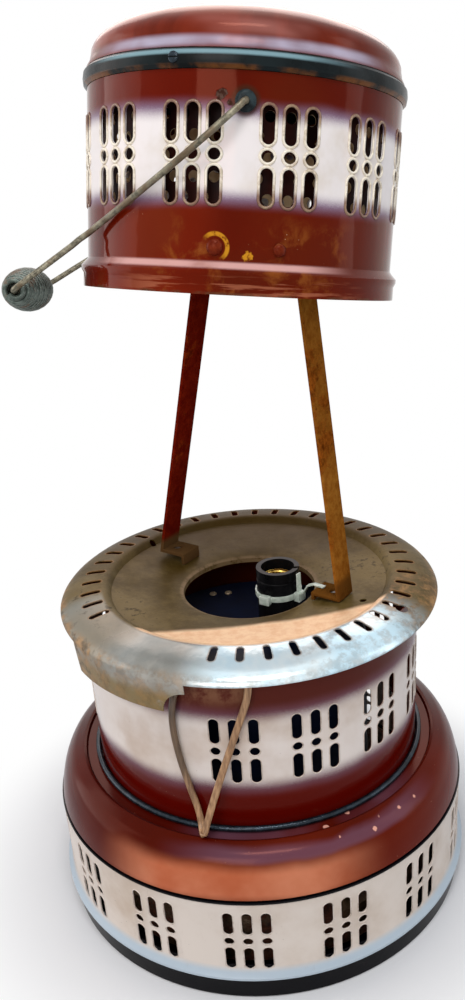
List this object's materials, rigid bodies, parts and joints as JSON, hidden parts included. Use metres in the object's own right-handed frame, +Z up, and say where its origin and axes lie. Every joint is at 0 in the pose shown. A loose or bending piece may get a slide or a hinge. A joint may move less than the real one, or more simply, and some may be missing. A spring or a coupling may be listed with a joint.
{
  "type": "upcycled heater lamp",
  "caption": "Round enamelled portable heater turned into a lamp: slotted base and drum, galvanised collar, tilting slotted head on two straps, wire bail with coiled grip.",
  "frame": {"origin": "centre of the round base on the surface it stands on", "axes": "+Z up, -Y to the side with the hanging loop of flex, +X to the right of it"},
  "size_m": [0.376, 0.498, 0.7104],
  "materials": {
    "enamel_black": "black enamel",
    "enamel_cream": "glossy cream-white enamel",
    "enamel_brown": "glossy red-brown enamel with a sprayed pale band",
    "enamel_navy": "dark blue enamel",
    "dark_steel": "worn blue-black steel",
    "rusty_steel": "rusty steel",
    "maroon_strap": "dark rusty steel strap",
    "galvanised": "worn galvanised steel",
    "pale_screw": "tarnished plated screw",
    "bare_steel": "dull weathered steel",
    "liner_tin": "dull tinned sheet",
    "bail_steel": "weathered grey-brown wire",
    "grip_steel": "weathered grey-green wire",
    "holder_black": "black moulding",
    "brass": "tarnished brass",
    "nylon": "translucent nylon",
    "tie_black": "black nylon",
    "flex_gold": "brown-gold twin flex",
    "rubber_black": "black rubber",
    "rivet_rust": "worn orange-brown rivet"
  },
  "bodies": {
    "stand": {"base_pan": "enamel_black", "fuel_tank": "rusty_steel", "base_band": "enamel_cream", "seam_ring": "enamel_black", "base_shoulder": "enamel_brown", "foot_ring": "dark_steel", "mid_drum": "enamel_brown", "inner_drum": "enamel_navy", "deck_screws": "pale_screw", "collar": "galvanised", "strap_left": "maroon_strap", "strap_right": "rusty_steel", "strap_foot_screws": "bare_steel", "pivot_bolts": "bare_steel", "lamp_holder": "holder_black", "screw_shell": "brass", "centre_contact": "brass", "cable_tie_body": "nylon", "cable_tie_link": "nylon", "flex_inner": "flex_gold", "flex_return": "flex_gold", "flex_loop": "flex_gold", "flex_gland": "rubber_black", "flex_lead": "flex_gold", "flex_coil": "flex_gold", "flex_tail": "flex_gold", "coil_tie": "tie_black", "plug_body": "rubber_black", "plug_blades": "brass"},
    "head": {"head_drum": "enamel_brown", "bead_ring": "dark_steel", "head_cap": "enamel_brown", "head_liner": "liner_tin", "head_bracket": "bare_steel", "catch_plate": "bare_steel", "front_rivets": "rivet_rust", "bail_eyelets": "dark_steel"},
    "bail": {"bail": "bail_steel"},
    "grip": {"coil_grip": "grip_steel"}
  },
  "joints": [
    {"name": "head_tilt", "type": "hinge", "parent": "stand", "child": "head", "pos_m": [0.011, 0.006, 0.56], "axis": [0.7986, -0.6018, 0], "range_deg": [-20, 40]},
    {"name": "bail_swing", "type": "hinge", "parent": "head", "child": "bail", "pos_m": [0.01907, 0.01671, 0.63684], "axis": [0.0137, 0.9901, -0.1394], "range_deg": [0, 252.8]},
    {"name": "grip_spin", "type": "hinge", "parent": "bail", "child": "grip", "pos_m": [-0.14974, 0.0047, 0.53503], "axis": [0.0137, 0.9901, -0.1394], "continuous": true}
  ]
}
